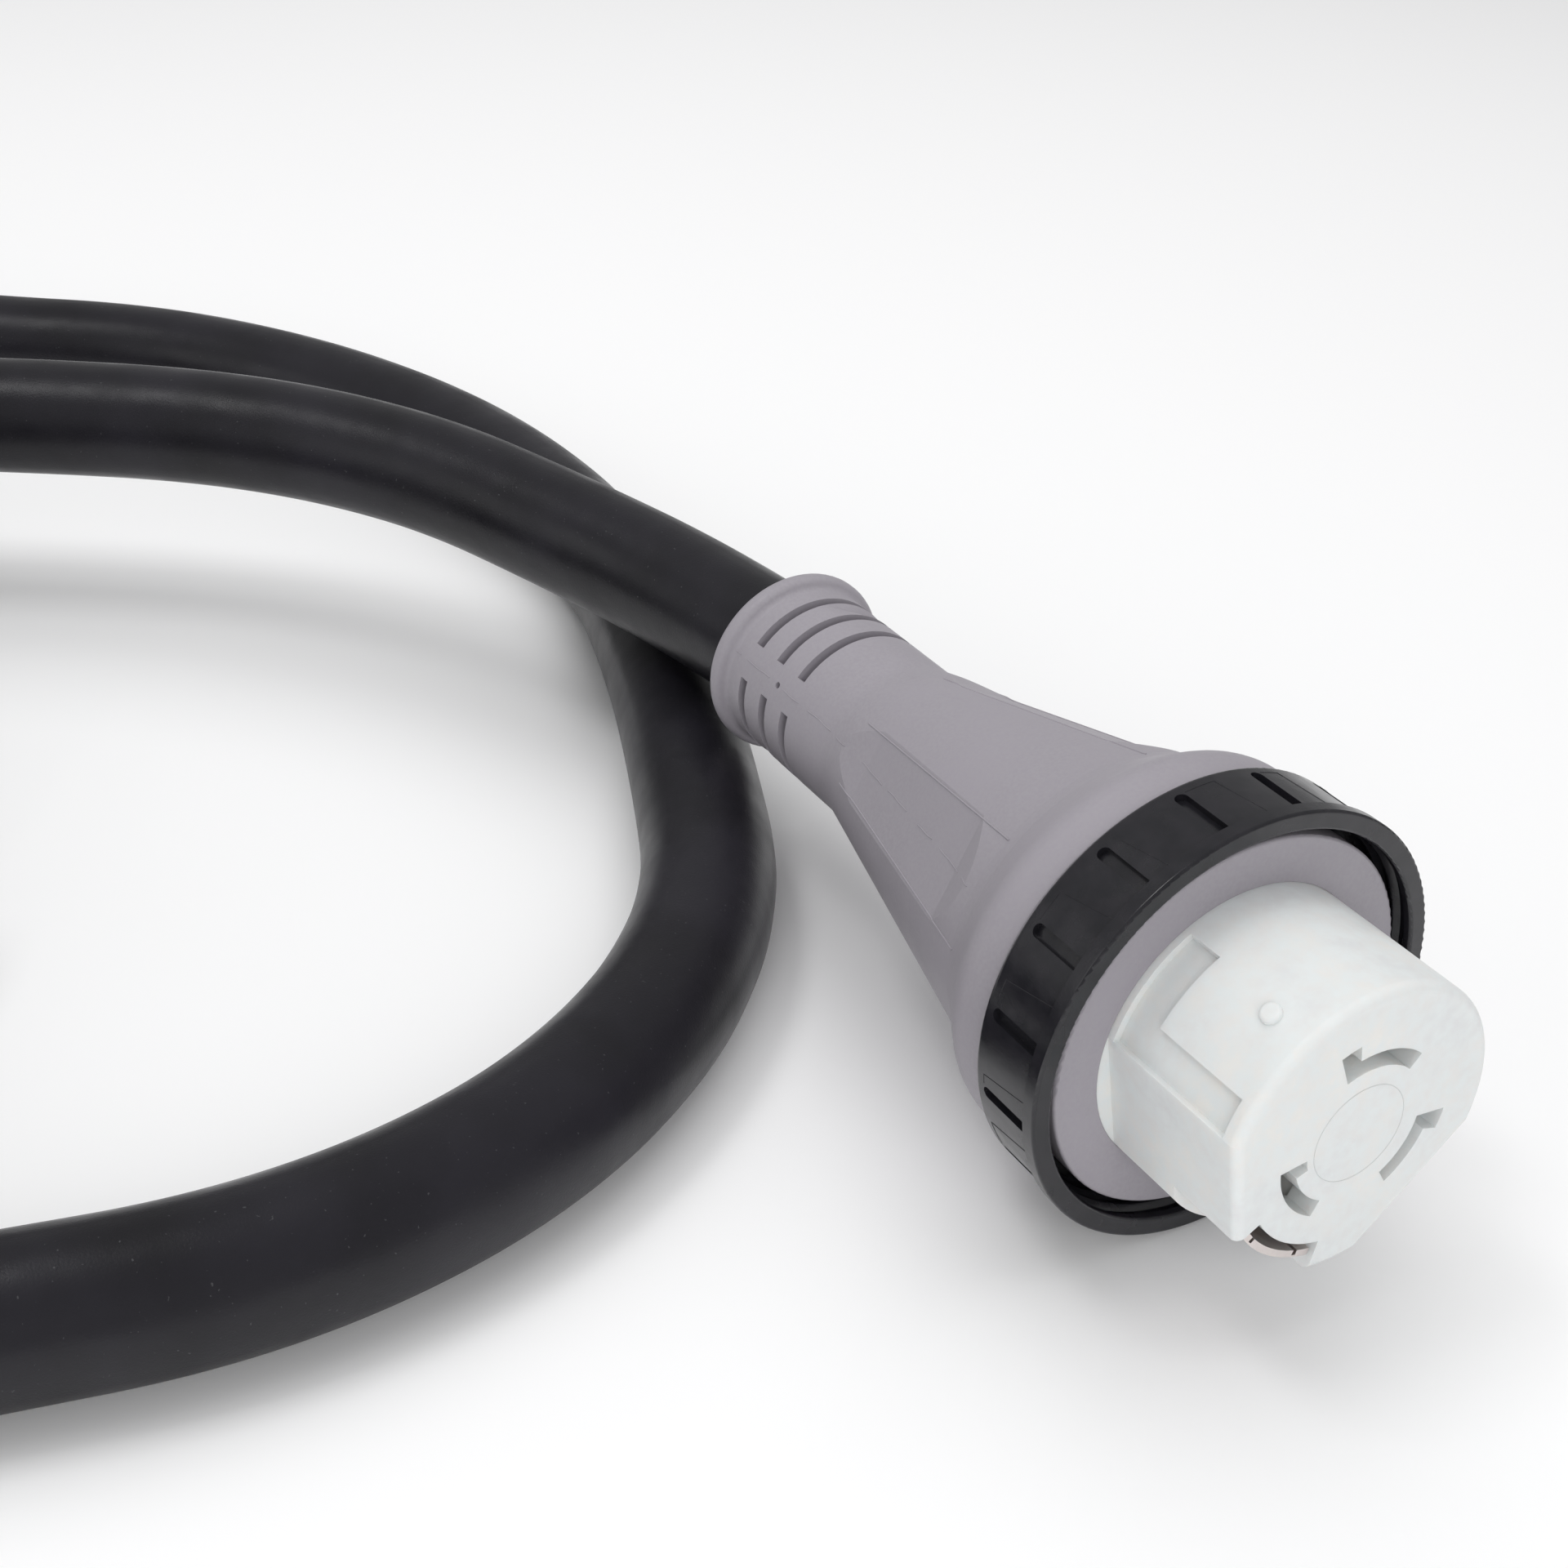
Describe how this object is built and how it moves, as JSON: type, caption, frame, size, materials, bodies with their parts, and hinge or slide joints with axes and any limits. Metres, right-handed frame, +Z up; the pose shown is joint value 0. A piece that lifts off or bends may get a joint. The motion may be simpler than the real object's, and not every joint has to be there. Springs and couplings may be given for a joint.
{
  "type": "shore power cord",
  "caption": "Shore power cord for an RV: grey locking female connector with a white nose and a black threaded ring, thick black cord in a coil, and a straight-blade plug with a pull handle.",
  "frame": {"origin": "on the supporting surface, below the middle of the connector's bounding box", "axes": "+X along the connector's axis towards its nose, +Z up"},
  "size_m": [0.5695, 0.5355, 0.079],
  "materials": {
    "overmold_grey": "satin moulded soft plastic",
    "premold_black": "hard moulded plastic",
    "nose_white": "satin nylon",
    "ring_black": "glossy moulded",
    "cord_black": "satin jacket",
    "wire_black": "insulation",
    "wire_red": "insulation",
    "wire_white": "insulation",
    "wire_green": "insulation",
    "copper": "stranded copper",
    "brass": "stamped",
    "nickel": "plated strip",
    "steel": "zinc plated",
    "strap_black": "hook and loop"
  },
  "bodies": {
    "cordset": {"connector_overmold": "overmold_grey", "inner_premold": "premold_black", "nose_insert": "nose_white", "contact_carrier": "nose_white", "contact_line_1": "brass", "contact_line_2": "brass", "contact_neutral": "brass", "ground_contact": "nickel", "insert_screws": "steel", "jacket_end_connector": "cord_black", "conductor_line_1": "wire_black", "conductor_line_2": "wire_red", "conductor_neutral": "wire_white", "conductor_ground": "wire_green", "copper_ends_connector": "copper", "cord_lead": "cord_black", "cord_run": "cord_black", "cord_coil": "cord_black", "coil_strap_1": "strap_black", "coil_strap_2": "strap_black", "plug_overmold": "overmold_grey", "plug_insert": "premold_black", "plug_blade_line_1": "brass", "plug_blade_line_2": "brass", "plug_blade_neutral": "brass", "plug_ground_pin": "brass", "jacket_end_plug": "cord_black", "plug_conductor_line_1": "wire_black", "plug_conductor_line_2": "wire_red", "plug_conductor_neutral": "wire_white", "plug_conductor_ground": "wire_green", "copper_ends_plug": "copper"},
    "ring": {"locking_ring": "ring_black"}
  },
  "joints": [
    {"name": "ring_spin", "type": "hinge", "parent": "cordset", "child": "ring", "pos_m": [0.0444, 0, 0.038], "axis": [1, 0, 0], "continuous": true}
  ]
}
